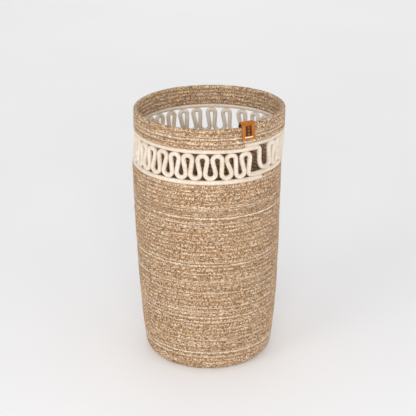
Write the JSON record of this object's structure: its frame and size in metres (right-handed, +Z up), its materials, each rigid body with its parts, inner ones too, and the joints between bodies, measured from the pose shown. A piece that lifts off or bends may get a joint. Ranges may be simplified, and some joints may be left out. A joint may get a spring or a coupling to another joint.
{
  "type": "laundry hamper",
  "caption": "Tall round laundry hamper of coiled jute rope, open at the top, with an openwork band of looped cotton cord below the rim and a small folded leather label.",
  "frame": {"origin": "on the floor, at the centre of the base", "axes": "+Z up along the hamper's axis; the front, with the label a little to its right, faces -Y"},
  "size_m": [0.2838, 0.2838, 0.5039],
  "materials": {
    "jute_rope": "marled jute and cotton rope, matt and hairy, with lighter flecks",
    "cotton_cord": "braided cream cotton cord, soft matt",
    "tan_leather": "tan vegetable-tanned leather, satin, slightly rounded at the fold",
    "dark_lining": "dark navy lining, matt",
    "white_thread": "thick waxed thread, off-white",
    "burnt_leather": "leather darkened by a hot stamp, matt"
  },
  "bodies": {
    "root": {"base_coil": "jute_rope", "wall_coil_lower": "jute_rope", "wall_coil_middle": "jute_rope", "wall_coil_upper": "jute_rope", "lower_cotton_ring": "cotton_cord", "cotton_wave": "cotton_cord", "upper_cotton_ring": "cotton_cord", "rim_coil": "jute_rope", "leather_label": "tan_leather", "label_lining": "dark_lining", "label_stitch": "white_thread", "label_mark": "burnt_leather"}
  },
  "joints": []
}
